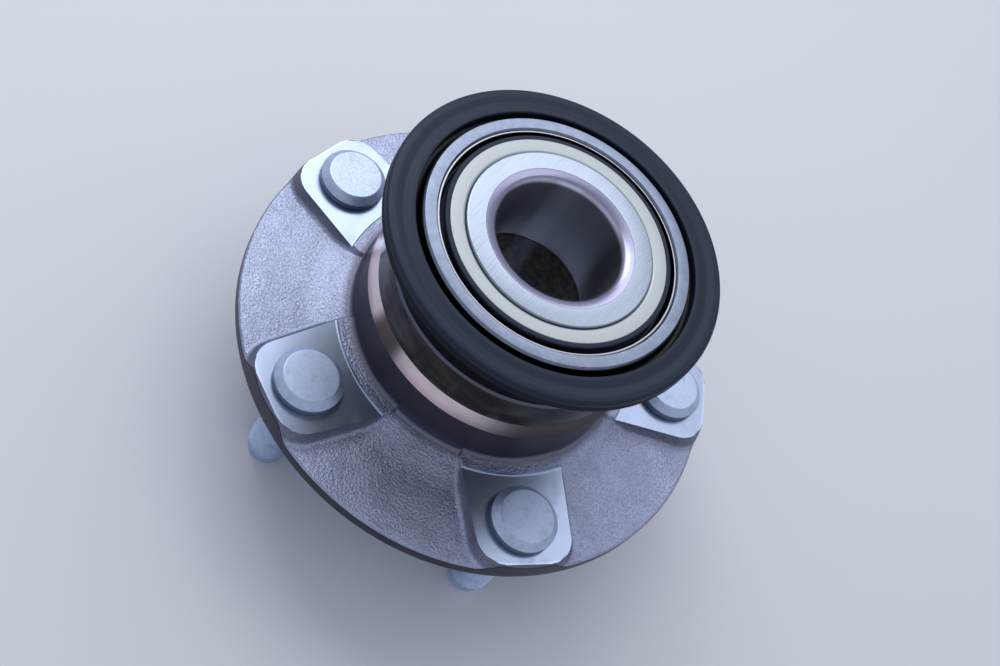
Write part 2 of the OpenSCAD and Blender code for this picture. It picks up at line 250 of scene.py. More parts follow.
class Value:
    """A number carried by a shader socket. Python's operators on it add Math nodes."""

    def __init__(self, finish, socket):
        self.finish, self.socket = finish, socket

    def __add__(self, other):
        return self.finish.maths("ADD", self, other)

    __radd__ = __add__

    def __sub__(self, other):
        return self.finish.maths("SUBTRACT", self, other)

    def __rsub__(self, other):
        return self.finish.maths("SUBTRACT", other, self)

    def __mul__(self, other):
        return self.finish.maths("MULTIPLY", self, other)

    __rmul__ = __mul__


class Finish:
    """A material in the making. Places in it are in millimetres on the object."""

    def __init__(self, name, metallic=1.0):
        self.material = bpy.data.materials.new(name)
        self.material.use_nodes = True
        self.tree = self.material.node_tree
        self.shader = self.tree.nodes["Principled BSDF"]
        self.shader.inputs["Metallic"].default_value = metallic
        self.place = self.vector("SCALE", self.node("TexCoord").outputs["Object"], Scale=1 / MM)
        self.z = Value(self, self.node("SeparateXYZ", inputs={"Vector": self.place}).outputs["Z"])
        flat = self.vector("MULTIPLY", self.place, (1, 1, 0))
        self.r = Value(self, self.vector("LENGTH", flat, output="Value"))
        self.heading = self.vector("NORMALIZE", flat)

    def node(self, kind, settings=None, inputs=None):
        """Adds a node: its settings first, then the values or links of its sockets."""
        made = self.tree.nodes.new("ShaderNode" + kind)
        for name, value in (settings or {}).items():
            setattr(made, name, value)
        for socket, value in (inputs or {}).items():
            self.feed(made.inputs[socket], value)
        return made

    def feed(self, socket, value):
        if isinstance(value, Value):
            value = value.socket
        if isinstance(value, bpy.types.NodeSocket):
            self.tree.links.new(value, socket)
        elif socket.type == "RGBA":
            socket.default_value = (*value[:3], 1)
        else:
            socket.default_value = value

    def maths(self, operation, *terms):
        return Value(self, self.node("Math", {"operation": operation}, dict(enumerate(terms))).outputs[0])

    def vector(self, operation, *terms, output="Vector", **named):
        inputs = {**dict(enumerate(terms)), **named}
        return self.node("VectorMath", {"operation": operation}, inputs).outputs[output]

    def step(self, value, low, high):
        """0 below low and 1 above high, smooth between."""
        return Value(self, self.node("MapRange", {"interpolation_type": "SMOOTHSTEP"},
                                     {"Value": value, "From Min": low, "From Max": high}).outputs["Result"])

    def band(self, value, low, high, edge):
        """1 between low and high, fading over edge outside them."""
        return self.step(value, low - edge, low) * (1 - self.step(value, high, high + edge))

    def towards(self, angle, full, end):
        """1 within full radians of a direction from the spindle, 0 beyond end radians."""
        way = (math.cos(angle), math.sin(angle), 0)
        there = self.vector("DOT_PRODUCT", self.heading, way, output="Value")
        return self.step(Value(self, there), math.cos(end), math.cos(full))

    def noise(self, scale, place=None, detail=2.0, rough=0.5):
        inputs = {"Vector": place or self.place, "Scale": scale, "Detail": detail, "Roughness": rough}
        return Value(self, self.node("TexNoise", {"noise_dimensions": "3D"}, inputs).outputs[0])

    def grain(self, across, along, height, detail, rough=0.5):
        """A noise that runs round the spindle: across per mm of radius, along per radian, height per mm."""
        lift = self.node("CombineXYZ", inputs={"Z": self.r * across + self.z * height}).outputs[0]
        place = self.vector("ADD", self.vector("SCALE", self.heading, Scale=along), lift)
        return self.noise(1.0, place, detail, rough)

    def scratches(self, along, across, turn):
        """A noise of straight marks that lie at an angle turn."""
        inputs = {"Vector": self.place, "Rotation": (0, 0, turn), "Scale": (1 / along, 1 / across, 1)}
        place = self.node("Mapping", {"vector_type": "TEXTURE"}, inputs).outputs[0]
        return self.noise(1.0, place, detail=2, rough=0.7)

    def cells(self, scale):
        """Distance to the nearest of scattered points, 0 at each point."""
        made = self.node("TexVoronoi", {"feature": "F1"}, {"Vector": self.place, "Scale": scale})
        return Value(self, made.outputs["Distance"])

    def sheen(self, level):
        """A bluish reflection, of a strength between 0 and 1."""
        self.shader.inputs["Specular IOR Level"].default_value = level
        self.shader.inputs["Specular Tint"].default_value = SHEEN

    def mix(self, mask, first, second):
        """first where the mask is 0, second where it is 1. Both are colours."""
        made = self.node("Mix", {"data_type": "RGBA"})
        self.feed(made.inputs[0], mask)
        self.feed(made.inputs[6], first)
        self.feed(made.inputs[7], second)
        return made.outputs[2]

    def tones(self, mask, rgb, dark, light):
        """A colour times dark where the mask is 0 and times light where it is 1."""
        return self.mix(mask, rgb * dark, rgb * light)

    def finished(self, base, roughness, relief=None):
        """Links what varies. relief is a height in millimetres."""
        self.feed(self.shader.inputs["Base Color"], base)
        self.feed(self.shader.inputs["Roughness"], roughness)
        if relief is not None:
            bump = self.node("Bump", inputs={"Strength": 1.0, "Distance": MM, "Height": relief})
            self.feed(self.shader.inputs["Normal"], bump.outputs["Normal"])
        return self.material


def forged_finish(name, colours):
    """Shot-blasted forging: a dull sparkling skin, cloudy, dark in the fillet at the barrel's root, and
    dark pad walls, partly their own darker skin and partly painted shade.
    """
    size = in_mm(bpy.context.scene.hub_sizes)
    skin = Finish(name)
    grain = skin.noise(1.9, detail=4, rough=0.8)
    dents = skin.cells(1.3)
    patches = skin.noise(0.1, detail=4, rough=0.6)
    scale = skin.step(skin.noise(0.5, detail=4, rough=0.65), 0.5, 0.75)
    light = skin.tones(skin.step(patches, 0.3, 0.7), colours.forging, 0.84, 1.14)
    base = skin.mix(skin.step(grain, 0.34, 0.58), colours.forging * 0.6, light)
    base = skin.mix(scale * 0.3, base, colours.forging * 0.7)
    cone = CONE_Z - (skin.r - (size.root_r + CONE_OUT)) * CONE_FALL
    slope = size.rim_h + (size.flange_r - skin.r) * RIM_FALL
    lift = skin.z - skin.maths("MAXIMUM", cone, slope)
    seat_r = size.seat_inner_r
    # The pads' walls take the root's dark colour: partly a darker skin, partly painted shade where the
    # walls fall in shade.
    on_wall = skin.step(lift, 0.25, 1.2) * skin.step(skin.r, seat_r - 0.7, seat_r + 1.2)
    base = skin.mix(on_wall * 0.62, base, colours.root * 1.1)
    near_root = 1 - skin.step(skin.r, size.root_r + 0.5, size.root_r + 3.6)
    base = skin.mix(near_root * 0.8, base, colours.root * 1.1)
    return skin.finished(base, 0.36 + patches * 0.1, grain * 0.13 + dents * 0.1)


def machined_finish(name, colours):
    """Faces turned about the spindle: fine rings, a few dull patches, a painted highlight along the pads'
    outer edges and a dark rim.
    """
    size = in_mm(bpy.context.scene.hub_sizes)
    face = Finish(name)
    rings = face.grain(5, 0.6, 5, detail=3, rough=0.6)
    sweep = face.grain(0.2, 1.2, 0.3, detail=2)
    stain = face.step(face.noise(0.12, detail=4, rough=0.6), 0.54, 0.78)
    base = face.mix(stain * 0.3, face.tones(sweep, colours.machined, 0.88, 1.12), colours.machined * 0.65)
    # Painted highlight: a light band along the pads' outer edges, where their edge break would catch the
    # light.
    on_edge = face.step(face.r, size.pad_end_x - 0.25, size.pad_end_x + 0.05)
    base = face.mix(on_edge * 0.8, base, colours.machined * 1.35)
    on_rim = face.step(face.r, size.flange_r - 0.2, size.flange_r - 0.1)
    rust = face.step(face.noise(0.25, detail=5, rough=0.7), 0.58, 0.74)
    rim = face.tones(rings, colours.rim, 0.7, 1.5)
    base = face.mix(on_rim, base, face.mix(rust * 0.5, rim, colours.rust))
    return face.finished(base, 0.29 + rings * 0.06 + stain * 0.1 + on_rim * 0.12, rings * 0.002)


def barrel_finish(name, colours):
    """Dark turned root; bright oiled taper with painted reflection and painted shade round it; ground
    barrel with painted reflection streaks and painted shade towards the encoder; dull ledge; neck painted
    black as shade under the encoder; ground end face.
    """
    size = in_mm(bpy.context.scene.hub_sizes)
    low, high, ledge, end = size.taper_low_z, size.taper_high_z, size.ledge_z, top("hub_flange")
    steel = Finish(name)
    tool = steel.grain(0, 0.5, 7, detail=3, rough=0.75)
    fine = steel.grain(2, 1.5, 14, detail=2, rough=0.6)
    root = steel.tones(tool, colours.root, 0.75, 1.4)
    low_root = 1 - steel.step(steel.z, ROOT_SKIN_LOW, ROOT_SKIN_HIGH)
    root = steel.mix(low_root * 0.6, root, colours.forging * 0.6)
    # Painted reflection: the taper is lighter and darker by heading, as its reflection of the lamps varies
    # round it.
    taper_reflection = steel.grain(0.05, 1.1, 0.05, detail=3, rough=0.6)
    taper = steel.tones(steel.step(taper_reflection, 0.35, 0.62), colours.taper, 0.7, 1.15)
    taper = steel.mix(steel.step(tool, 0.4, 0.7) * 0.3, taper, colours.taper * 0.75)
    low_taper = 1 - steel.step(steel.z, low + 0.3, low + 2.6)
    taper = steel.mix(low_taper * 0.5, taper, colours.taper_foot)
    # Painted shade: dark patches on the taper's shaded sides, in the gaps of its reflection.
    for patch, depth in ((TAPER_SHADE_GAP, 0.88), (TAPER_SHADE_POOL, 0.94)):
        taper = steel.mix(steel.towards(*patch) * depth, taper, colours.oil)
    smear = steel.grain(0.3, 3.0, 0.25, detail=4, rough=0.6)
    # Painted reflection: light streaks along the barrel's axis, as a mirror-like ground surface reflects
    # its surroundings.
    reflection_streak = steel.grain(0, 5.0, 0.02, detail=2)
    barrel = steel.tones(steel.step(smear, 0.4, 0.7), colours.barrel, 0.7, 1.7)
    barrel = steel.mix(steel.step(reflection_streak, 0.56, 0.72) * 0.5, barrel, colours.machined * 0.55)
    # Painted shade: the barrel darkens towards the encoder, where the encoder overhangs it.
    barrel = steel.mix(steel.step(steel.z, high + 3, ledge - 1) * 0.6, barrel, colours.barrel * 0.5)
    end_marks = steel.grain(0.3, 16, 0, detail=4, rough=0.7)
    tarnish = steel.step(steel.noise(0.14, detail=4, rough=0.6), 0.5, 0.8)
    end_face = steel.tones(end_marks, colours.machined, 0.34, 0.68)
    end_face = steel.mix(tarnish * 0.5, end_face, colours.tarnish)
    on_taper = steel.step(steel.z, low - 0.1, low + 0.1)
    on_barrel = steel.step(steel.z, high - 0.15, high + 0.15)
    on_ledge = steel.step(steel.z, ledge - 0.35, ledge - 0.2)
    on_neck = steel.step(steel.z, ledge + 0.25, ledge + 0.35)
    on_end = steel.step(steel.z, end - 0.9, end - 0.6)
    base = root
    # The neck is painted near black as shade under the encoder.
    for zone, look in ((on_taper, taper), (on_barrel, barrel), (on_ledge, colours.machined * 0.3),
                       (on_neck, colours.root * 0.12), (on_end, end_face)):
        base = steel.mix(zone, base, look)
    rough = 0.42 - on_taper * 0.16 - on_barrel * 0.08 + on_ledge * 0.14 - on_end * 0.06
    relief = tool * (0.02 - on_barrel * 0.018) + fine * 0.002 + end_marks * on_end * 0.004
    return steel.finished(base, rough + fine * 0.08, relief)


def ring_finish(name, colours):
    """Bearing steel: straight grinding marks on the end face, a honed bore with painted highlight streaks,
    and rust in the far ring.
    """
    size = in_mm(bpy.context.scene.hub_bearing_sizes)
    mouth, joint = size.bore_r + size.mouth_r, bottom("inner_ring_inboard")
    steel = Finish(name)
    first = steel.scratches(0.04, 3.4, math.radians(68))
    second = steel.scratches(0.06, 1.7, math.radians(80))
    hone = steel.grain(0, 0.8, 6, detail=3, rough=0.7)
    # Painted highlight: streaks along the bore lighten and darken it as reflections would.
    reflection_streak = steel.grain(0, 1.6, 0.02, detail=1)
    cloud = steel.noise(0.35, detail=4, rough=0.65)
    in_bore = 1 - steel.step(steel.r, size.bore_r + 0.2, size.bore_r + 1.2)
    on_mouth = 1 - steel.step(steel.r, mouth - 0.15, mouth)
    on_edge = steel.band(steel.r, mouth - 0.08, mouth, 0.1)
    second_ring = 1 - steel.step(steel.z, joint - 0.3, joint + 0.1)
    base = steel.tones(cloud, colours.ring, 0.94, 1.06)
    base = steel.mix(steel.step(first, 0.45, 0.65) * 0.4, base, colours.ring * 1.18)
    base = steel.mix(steel.step(second, 0.5, 0.66) * 0.3, base, colours.ring * 0.76)
    base = steel.mix(on_mouth * 0.9, base, colours.mouth)
    base = steel.mix(on_edge * 0.6, base, colours.mouth_edge)
    # Painted highlight: a bright streak down the bore in one direction, fainter on the far ring.
    bore_highlight = steel.towards(*BORE_HIGHLIGHT)
    bore = steel.tones(steel.step(reflection_streak, 0.35, 0.68), colours.bore, 0.72, 1.35)
    bore = steel.mix(bore_highlight * 0.7, bore, colours.bore * 1.9)
    rusty = steel.mix(steel.step(cloud, 0.3, 0.7), colours.bore_oil, colours.bore_rust)
    rusty = steel.mix(bore_highlight * cloud * 0.8, rusty, colours.bore * 0.9)
    base = steel.mix(in_bore, base, steel.mix(second_ring, bore, rusty))
    marks = (first + second) * (1 - on_mouth) * 0.005 + hone * in_bore * 0.003
    return steel.finished(base, 0.2 + first * 0.1 + in_bore * 0.16, marks)


def ball_finish(name, colours):
    """Polished ball with the faintest haze."""
    steel = Finish(name)
    haze = steel.noise(0.8, detail=3)
    return steel.finished(steel.tones(haze, colours.ball, 0.94, 1.04), 0.06 + haze * 0.05)


def zinc_finish(name, colours):
    """Matt zinc: soft mottling, dark pits and smudges, and painted shade on the heads' sides below their
    chamfer.
    """
    zinc = Finish(name, metallic=0.9)
    mottle = zinc.noise(0.8, detail=4, rough=0.65)
    grain = zinc.noise(3.2, detail=3, rough=0.7)
    pits = zinc.step(zinc.noise(2.6, detail=4, rough=0.8), 0.54, 0.66)
    smudge = zinc.step(zinc.noise(0.16, detail=5, rough=0.7), 0.5, 0.7)
    side_z = STUD_HIGH.z / MM - in_mm(bpy.context.scene.hub_stud_sizes).chamfer_h
    # Painted shade: the heads' sides below the chamfer are darkened, where dark reflection and shade fall
    # on them.
    shaded_side = zinc.step(zinc.z, -0.5, 0.5) * (1 - zinc.step(zinc.z, side_z - 0.15, side_z + 0.15))
    base = zinc.mix(smudge * 0.35, zinc.tones(mottle, colours.zinc, 0.82, 1.2), colours.smudge)
    base = zinc.mix(pits * 0.3, base, colours.zinc * 0.45)
    base = zinc.mix(shaded_side * 0.75, base, colours.zinc * 0.22)
    return zinc.finished(base, 0.38 + mottle * 0.14, grain * 0.02 - pits * 0.03)


def slinger_finish(name, colours):
    """Coated sheet: pale, satin, with faint rings and a few scuffs."""
    coat = Finish(name, metallic=0.4)
    rings = coat.grain(5, 0.7, 1, detail=3, rough=0.7)
    scuff = coat.step(coat.noise(0.6, detail=5, rough=0.75), 0.58, 0.75)
    base = coat.mix(scuff * 0.4, coat.tones(rings, colours.slinger, 0.88, 1.1), colours.slinger * 0.65)
    return coat.finished(base, 0.36 + rings * 0.12, rings * 0.005)


def sheet_finish(name, colours):
    """Pressed steel, bright on its rim, with painted shade inside the case."""
    scene = bpy.context.scene
    inner = in_mm(scene.hub_sizes).seal_seat_r - in_mm(scene.hub_seal_sizes).sheet
    sheet = Finish(name)
    marks = sheet.grain(4, 1.2, 4, detail=3, rough=0.7)
    # Painted shade: the inside of the case is near black, as it lies in shade.
    inside = 1 - sheet.step(sheet.r, inner + 0.02, inner + 0.12)
    base = sheet.mix(inside, sheet.tones(marks, colours.sheet, 0.8, 1.15), colours.sheet * 0.06)
    return sheet.finished(base, 0.26 + marks * 0.14, marks * 0.004)


def carrier_finish(name, colours):
    """Rolled steel under the encoder, painted dark as shade in the gap beside the encoder."""
    sheet = Finish(name, metallic=0.6)
    marks = sheet.grain(4, 1.2, 4, detail=3, rough=0.7)
    # Painted shade: the carrier takes a near-black copy of the root's colour, as it lies in shade under the
    # encoder.
    return sheet.finished(sheet.tones(marks, colours.root, 0.15, 0.4), 0.4 + marks * 0.1, marks * 0.004)


def encoder_finish(name, colours):
    """Magnetised rubber: dark slate, faint moulding rings, specks, a painted highlight on the outer
    shoulder and painted shade on the outer side.
    """
    rubber = Finish(name, metallic=0.0)
    rubber.sheen(0.38)
    rings = rubber.grain(0.8, 0.3, 0.8, detail=3, rough=0.6)
    bloom = rubber.noise(0.1, detail=4, rough=0.6)
    specks = rubber.step(rubber.noise(2.2, detail=2), 0.68, 0.78)
    # Painted highlight: the outer shoulder is lighter, where its rounding would catch the light.
    outer = rubber.step(rubber.r, 43, 46)
    face_z = top("encoder_magnet")
    # Painted shade: the encoder's outer side face is darkened, as it faces away from the lamps.
    shaded_side = 1 - rubber.step(rubber.z, face_z - 2.0, face_z - 1.0)
    base = rubber.tones(rings, colours.rubber, 0.6, 1.2)
    for mask, light in ((bloom * 0.4, 1.5), (specks * 0.12, 4), (outer * 0.4, 1.6), (shaded_side, 0.25)):
        base = rubber.mix(mask, base, colours.rubber * light)
    return rubber.finished(base, 0.4 + bloom * 0.14 + shaded_side * 0.3, rings * 0.006 + specks * 0.003)


def rubber_finish(name, colours):
    """Moulded seal rubber."""
    rubber = Finish(name, metallic=0.0)
    rubber.sheen(0.4)
    rings = rubber.grain(4, 0.6, 4, detail=2)
    return rubber.finished(rubber.tones(rings, colours.rubber, 0.8, 1.5), 0.5 + rings * 0.1, rings * 0.006)


def cage_finish(name, colours):
    """Glass-filled polymer with a faint flow of fibres."""
    polymer = Finish(name, metallic=0.0)
    fibres = polymer.grain(3, 2.5, 1, detail=4, rough=0.7)
    base = polymer.tones(fibres, colours.cage, 0.75, 1.25)
    return polymer.finished(base, 0.42 + fibres * 0.15, fibres * 0.01)


def floor_finish(name, colours):
    """Matt paint with a hardly visible cloud."""
    paint = Finish(name, metallic=0.0)
    return paint.finished(paint.tones(paint.noise(0.01, detail=3), colours.floor, 0.99, 1.01), 0.6)


FINISHES = {"forged skin": forged_finish, "turned face": machined_finish, "turned barrel": barrel_finish,
            "bearing steel": ring_finish, "ball steel": ball_finish, "zinc plate": zinc_finish,
            "slinger coat": slinger_finish, "pressed steel": sheet_finish, "steel in painted shade": carrier_finish,
            "encoder rubber": encoder_finish, "seal rubber": rubber_finish, "cage polymer": cage_finish,
            "floor paint": floor_finish}


def finish(name):
    """One of the materials, made when it is first asked for."""
    return bpy.data.materials.get(name) or FINISHES[name](name, bpy.context.scene.hub_colours)


def rounded(corners, closed=True, steps=5):
    """Points (radius, height) through corners (radius, height, rounding), with arcs at the rounded ones."""
    # An arc takes less than half of each of its sides.
    most = 0.49
    points = []
    last = len(corners) - 1
    for i, (r, z, rounding) in enumerate(corners):
        here = Vector((r, z))
        if rounding <= 0 or (not closed and i in (0, last)):
            points.append(here)
            continue
        back = Vector(corners[i - 1][:2]) - here
        ahead = Vector(corners[(i + 1) % len(corners)][:2]) - here
        half = back.angle(ahead) / 2
        run = min(rounding / math.tan(half), most * back.length, most * ahead.length)
        radius = run * math.tan(half)
        middle = here + (back.normalized() + ahead.normalized()).normalized() * (radius / math.sin(half))
        start = here + back.normalized() * run - middle
        turn = start.angle_signed(here + ahead.normalized() * run - middle)
        points += [middle + Matrix.Rotation(-turn * k / steps, 2) @ start for k in range(steps + 1)]
    return points


def evenly(start, end, steps):
    """start, end and what lies evenly between them."""
    return [start + (end - start) * k / steps for k in range(steps + 1)]


def spun(outline, steps=RING_STEPS, closed=True):
    """A bmesh made by spinning an outline in millimetres round the spindle."""
    bm = bmesh.new()
    verts = [bm.verts.new((r * MM, 0, z * MM)) for r, z in outline]
    edges = [bm.edges.new(pair) for pair in zip(verts, verts[1:])]
    if closed:
        edges.append(bm.edges.new((verts[-1], verts[0])))
    bmesh.ops.spin(bm, geom=verts + edges, cent=(0, 0, 0), axis=(0, 0, 1), dvec=(0, 0, 0),
                   angle=2 * math.pi, steps=steps, use_merge=True, use_duplicate=False)
    bmesh.ops.remove_doubles(bm, verts=bm.verts, dist=WELD)
    return bm


def placed_ring(outline, side):
    """A ring spun from its inboard outline, turned over the rings' joint for the outboard side."""
    bm = spun(outline)
    if side == "outboard":
        bmesh.ops.scale(bm, vec=(1, 1, -1), verts=bm.verts)
        bmesh.ops.translate(bm, vec=(0, 0, 2 * bottom("inner_ring_inboard") * MM), verts=bm.verts)
    return bm


def piece(name, bm, body, slot, replaced, *looks):
    """Finishes a bmesh as an object that rides on a body and stands for CAD nodes."""
    bmesh.ops.recalc_face_normals(bm, faces=bm.faces)
    for face in bm.faces:
        face.smooth = True
    for edge in bm.edges:
        edge.smooth = edge.calc_face_angle(math.pi) < SMOOTH_ANGLE
    mesh = bpy.data.meshes.new(name)
    bm.to_mesh(mesh)
    bm.free()
    for look in looks:
        mesh.materials.append(finish(look))
    made = bpy.data.objects.new(name, mesh)
    bpy.context.scene.collection.objects.link(made)
    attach(made, body)
    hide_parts(*replaced)


def stud_angle(index):
    """Direction of a stud from the spindle, in radians."""
    return math.pi / 2 + 2 * math.pi / len(STUDS) * index


def stud_place(index):
    """Moves a stud from the origin to its place on the circle."""
    return Matrix.Rotation(stud_angle(index), 4, "Z") @ Matrix.Translation((STUD_CIRCLE_R, 0, 0))


class PadShape:
    """Plan and height of the five stud pads, in millimetres. Angles run from a pad's middle line."""

    # Lean of a pad's sides in plan, and of its walls.
    TAPER, DRAFT = math.radians(3), math.radians(22)
    # How softly a pad's top and foot and the boss cone run out.
    TOP_BLEND, FOOT_BLEND, CONE_BLEND = 0.6, 2.6, 1.0
    RIM_ROUND, SEAT_ROUND = 0.8, 0.6
    # Columns of the mesh over half a pad, and from its wall to the middle of the web.
    TOP_COLUMNS, WEB_COLUMNS = 20, 14
    # Columns of the mesh on a pad's wall: how far outside its edge each runs, and their least distance.
    OFFSETS = (-1.4, -0.7, -0.3, -0.1, 0.1, 0.42, 0.6, 0.85, 1.1, 1.4, 1.7, 2.1, 2.6, 3.2, 4, 5)
    LEAST_GAP = 0.12
    # How far the bend of the rows at the rim reaches inwards, and past a pad's corner.
    BEND_IN, BEND_PAST = 1.3, 6
    # Distance of the web's first row from the barrel's root.
    ROOT_GAP = 2.2

    def __init__(self, size):
        self.flange_r, self.root_r, self.seat_r = size.flange_r, size.root_r, size.seat_inner_r
        self.rim_h, self.seat_z, self.land_z = size.rim_h, size.seat_z, size.land_z
        self.corner_r, self.relief = size.pad_corner_r, size.skin_relief
        self.corner = Vector((size.pad_end_x - self.corner_r, size.pad_half_w - self.corner_r))
        self.corner_angle = math.atan2(self.corner.y, self.corner.x)
        self.seat_offset = (self.land_z - self.seat_z) * math.tan(self.DRAFT)
        self.offsets = sorted((*self.OFFSETS, self.seat_offset))
        self.sector = math.pi / len(STUDS)
        self.columns = self.TOP_COLUMNS + len(self.offsets) + self.WEB_COLUMNS - 1
        self.inner_row = self.root_r + self.ROOT_GAP
        self.end_row = self.corner.x + self.corner_r + self.seat_offset
        self.rows = {}

    def beyond(self, r, angle):
        """How far a place lies outside a pad's edge at the height of the land, less than 0 inside it."""
        out, across = r * math.cos(angle) - self.corner.x, abs(r * math.sin(angle)) - self.corner.y
        if across > 0 and out * math.cos(self.TAPER) > across * math.sin(self.TAPER):
            return math.hypot(out, across) - self.corner_r
        return max(out * math.sin(self.TAPER) + across * math.cos(self.TAPER), out) - self.corner_r

    def edge_angle(self, r, offset):
        """Angle at which the line that runs offset outside a pad's edge crosses radius r."""
        rounding, reach_ = self.corner_r + offset, self.corner.length
        side = rounding + self.corner.y * math.cos(self.TAPER) + self.corner.x * math.sin(self.TAPER)
        angle = math.asin(side / r) - self.TAPER
        if r * math.cos(angle) < self.corner.x + rounding * math.sin(self.TAPER):
            return angle
        share = (r * r + reach_ * reach_ - rounding * rounding) / (2 * r * reach_)
        return self.corner_angle + math.acos(min(1.0, share))

    def row_angles(self, r):
        """Angles of the mesh columns at radius r, from a pad's middle line to the middle of the web."""
        r = round(r, 3)
        if r not in self.rows:
            walls = []
            for offset in self.offsets:
                least = walls[-1] + self.LEAST_GAP / r if walls else 0
                walls.append(max(self.edge_angle(r, offset), least))
            over_pad = evenly(0, walls[0], self.TOP_COLUMNS)[:-1]
            web = evenly(walls[-1], self.sector, self.WEB_COLUMNS)[1:]
            self.rows[r] = over_pad + walls + web
        return self.rows[r]

    def along_end(self, r, angle):
        """Radius of a row at an angle: near the rim the rows bend, and one follows the pads' outer edge."""
        rounding, reach_ = self.corner_r + self.seat_offset, self.corner.length
        flat, turn = self.end_row, min(abs(angle), self.corner_angle)
        edge = flat / math.cos(turn)
        if flat * math.tan(turn) > self.corner.y:
            lean = turn - self.corner_angle
            edge = reach_ * math.cos(lean) + math.sqrt(rounding ** 2 - (reach_ * math.sin(lean)) ** 2)
        near = 1 - (flat - r) / self.BEND_IN if r < flat else (self.flange_r - r) / (self.flange_r - flat)
        fade = 1 - (abs(angle) - turn) * r / self.BEND_PAST
        return r + (edge - flat) * max(0.0, near) * max(0.0, fade)

    def web_z(self, r):
        """Height of the web between the pads: boss cone, blend and slope to the rim."""
        cone = CONE_Z - (r - self.root_r - CONE_OUT) * CONE_FALL
        slope = self.rim_h + (self.flange_r - r) * RIM_FALL
        rim = self.RIM_ROUND - min(self.RIM_ROUND, self.flange_r - r)
        drop = self.RIM_ROUND - math.sqrt(max(0.0, self.RIM_ROUND ** 2 - rim ** 2))
        return smooth_max(cone, slope, self.CONE_BLEND) - drop

    def height(self, r, angle):
        """Height of the flange's inboard side, and whether it is a machined seat."""
        web = self.web_z(r)
        wall = self.land_z - self.beyond(r, angle) / math.tan(self.DRAFT)
        foot = max(self.TOP_BLEND, min(self.FOOT_BLEND, 0.9 * (self.seat_z - web)))
        forged = smooth_max(-smooth_max(-self.land_z, -wall, self.TOP_BLEND), web, foot)
        if r <= self.seat_r - self.SEAT_ROUND:
            return forged, False
        step = max(0.0, self.seat_r - r)
        seat = self.seat_z + self.SEAT_ROUND - math.sqrt(self.SEAT_ROUND ** 2 - step ** 2)
        return (seat, True) if seat <= forged + SLACK else (forged, False)


def smooth_max(a, b, blend):
    """The larger of two heights, with a soft change from one to the other."""
    share = min(1.0, max(0.0, 0.5 + 0.5 * (a - b) / blend))
    return b + (a - b) * share + blend * share * (1 - share)


def flange_outline(pads):
    """Web rows from the barrel's root out to the rim, then down the rim to the wheel face."""
    seat, end, row = pads.seat_r, pads.flange_r, pads.end_row
    radii = evenly(pads.inner_row, seat - 0.7, 4)
    radii += [seat - edge for edge in (pads.SEAT_ROUND, 0.55, 0.45, 0.3, 0.15, 0)]
    radii += evenly(seat + 0.3, row - 0.6, 38) + [row - 0.3, row - 0.1, row]
    radii += [end - edge for edge in (0.4, 0.25, 0.12, 0.04, 0)]
    rows = [(r, pads.web_z(r), 0) for r in radii]
    wall = [(end, z, 0) for z in evenly(pads.web_z(end), RIM_LOW, 4)[1:]]
    return rows + wall + [(end - 0.3, 0.3, 0), (end - 1, 0, 0)]


def race_arc(bearing, outer, row):
    """Corners along an inboard raceway in a ring's section, from the low land up to the high one."""
    groove = bearing.race_share * bearing.ball_r
    shift = (groove - bearing.ball_r - bearing.race_gap) * (1 if outer else -1)
    angle = bearing.contact_angle
    r, z = bearing.pitch_r - shift * math.cos(angle), row + shift * math.sin(angle)
    if outer:
        start, end = -math.acos((bearing.land_r - r) / groove), math.acos((bearing.relief_r - r) / groove)
    else:
        start = math.pi + math.acos((r - bearing.low_r) / groove)
        end = math.pi - math.acos((r - bearing.shoulder_r) / groove)
    return [(r + groove * math.cos(a), z + groove * math.sin(a), 0) for a in evenly(start, end, 14)]


def hub_outline(size, bearing, pads):
    """Half section of the hub: wheel face, pilot, bores and raceways, end face, barrel, web and rim."""
    joint, end, face = bottom("inner_ring_inboard"), top("hub_flange"), bottom("hub_flange")
    pilot, cap, seal, relief = size.pilot_r, size.cap_seat_r, size.seal_seat_r, bearing.relief_r
    root, barrel, neck, ledge = size.root_r, size.barrel_r, size.neck_r, size.ledge_z
    low_step, high_step = joint - bearing.step_z, joint + bearing.step_z
    wheel_side = [(pilot + 6.3, 0, 0), (pilot + 5.3, 0.6, 0), (pilot, 0.6, 0.4), (pilot, face + 2.4, 0.8),
                  (pilot - 1.2, face, 0.4), (cap + 0.5, face, 0.2), (cap, face + 0.5, 0.1), (cap, 1, 0),
                  (cap + 0.8, 1, 0), (cap + 0.8, 3, 0), (seal, 3, 0), (seal, low_step, 0),
                  (relief, low_step, 0)]
    inboard_race = race_arc(bearing, True, joint + bearing.row_offset)
    outboard_race = [(r, 2 * joint - z, 0) for r, z, _ in reversed(inboard_race)]
    inboard_side = [(relief, high_step, 0), (seal, high_step, 0), (seal, end - 0.5, 0.1),
                    (seal + 0.4, end, 0.15), (neck - 0.5, end, 0.25), (neck, end - 0.7, 0.25),
                    (neck, ledge + 0.3, 0.15), (barrel - 0.3, ledge, 0.12), (barrel, ledge - 0.4, 0.15)]
    outside = [(barrel, size.taper_high_z, 0.8), (root, size.taper_low_z, 0.7),
               (root, pads.web_z(root), 1.4)]
    return wheel_side + outboard_race + inboard_race + inboard_side + outside + flange_outline(pads)


